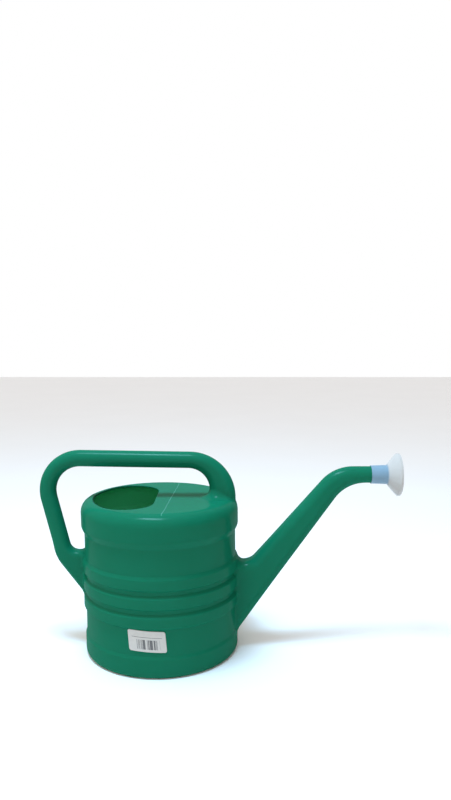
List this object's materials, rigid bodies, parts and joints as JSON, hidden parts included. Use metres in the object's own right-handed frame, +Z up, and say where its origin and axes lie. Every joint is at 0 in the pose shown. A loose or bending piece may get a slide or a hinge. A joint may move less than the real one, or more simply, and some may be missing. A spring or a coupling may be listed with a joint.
{
  "type": "watering can",
  "caption": "Round moulded plastic watering can with ribbed tank, arched tube handle, long bent spout and a push-on sprinkler rose.",
  "frame": {"origin": "centre of the tank's flat base, on the face it stands on", "axes": "+X from the tank's axis towards the spout and rose, +Z up, XZ is the plane of symmetry"},
  "size_m": [0.5162, 0.224, 0.2865],
  "materials": {
    "green_plastic": "semi-gloss moulded polyethylene",
    "white_plastic": "satin translucent moulded polyethylene",
    "label_paper": "smooth matt paper"
  },
  "bodies": {
    "can": {"tank_base": "green_plastic", "tank_wall": "green_plastic", "tank_deck": "green_plastic", "handle": "green_plastic", "spout_root": "green_plastic", "spout": "green_plastic", "spout_tip": "green_plastic", "label": "label_paper"},
    "rose": {"rose_funnel": "white_plastic"},
    "face": {"rose_face": "white_plastic"}
  },
  "joints": [
    {"name": "rose_pull", "type": "slide", "parent": "can", "child": "rose", "axis": [1, 0, 0], "range_m": [0, 0.04]},
    {"name": "face_turn", "type": "hinge", "parent": "rose", "child": "face", "pos_m": [0.337, 0, 0.25175], "axis": [1, 0, 0], "continuous": true}
  ]
}
